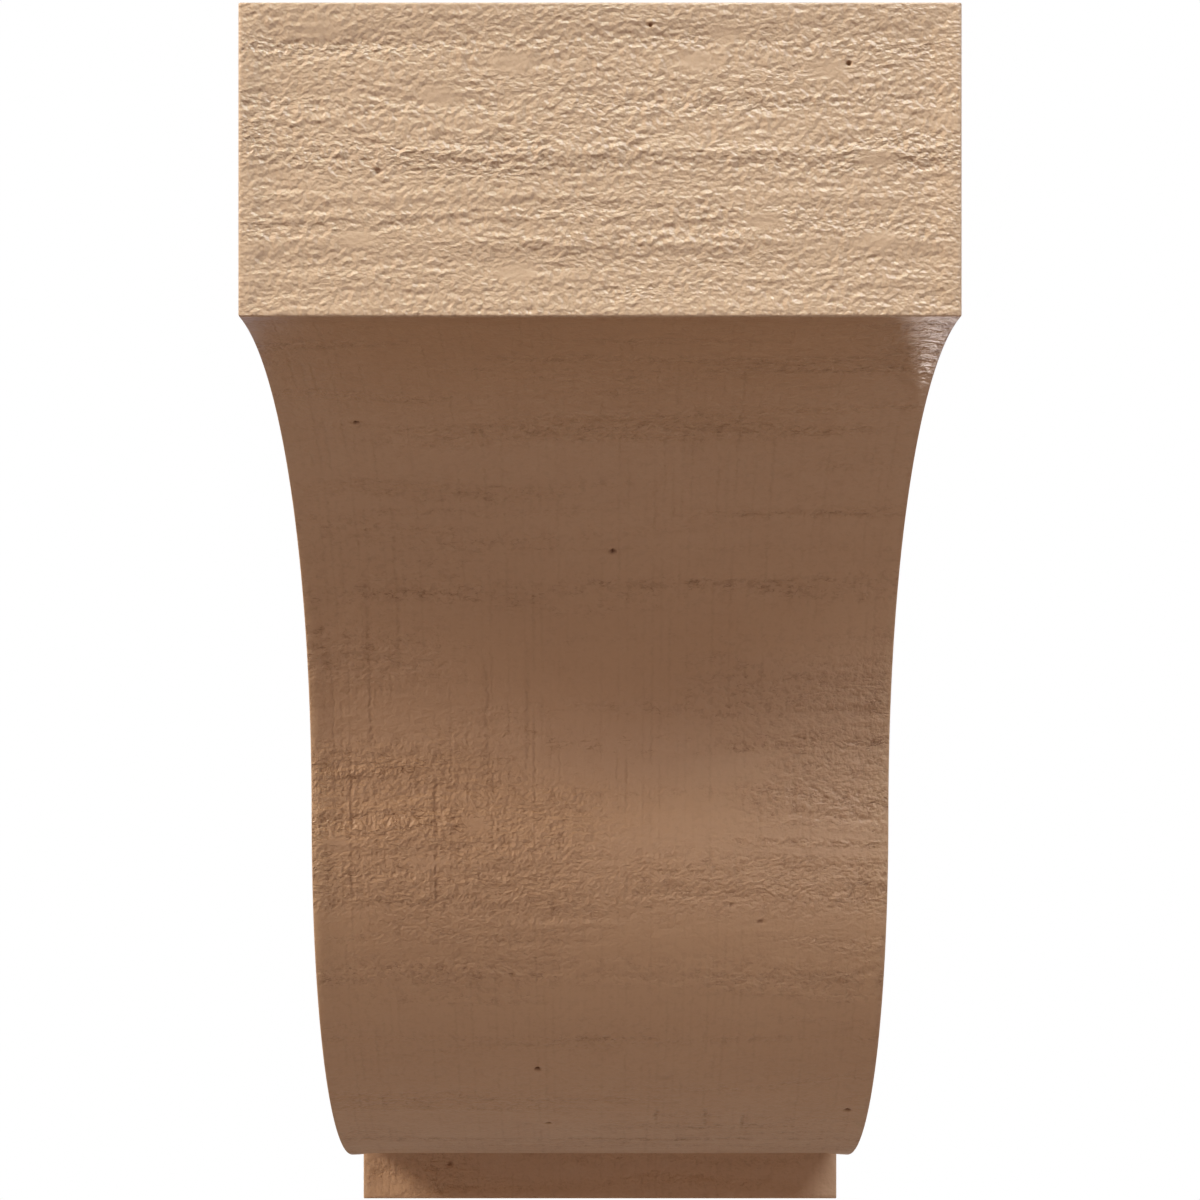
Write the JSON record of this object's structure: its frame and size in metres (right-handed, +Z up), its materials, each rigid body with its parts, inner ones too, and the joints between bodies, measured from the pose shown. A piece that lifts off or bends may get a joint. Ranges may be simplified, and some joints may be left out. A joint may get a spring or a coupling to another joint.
{
  "type": "urethane corbel",
  "caption": "Shelf or eave bracket cast as one solid: a square block over a concave cove, a convex belly and a short foot, with a rough-sawn timber surface.",
  "frame": {"origin": "centre of the flat back face, where the corbel meets the wall", "axes": "+Y into the wall, so the front looks along -Y; +Z up, from the foot to the block; +X across the width"},
  "size_m": [0.1524, 0.254, 0.3048],
  "materials": {
    "primed_urethane": "tan factory primer over rough-sawn grain, satin"
  },
  "bodies": {
    "root": {"corbel": "primed_urethane"}
  },
  "joints": []
}
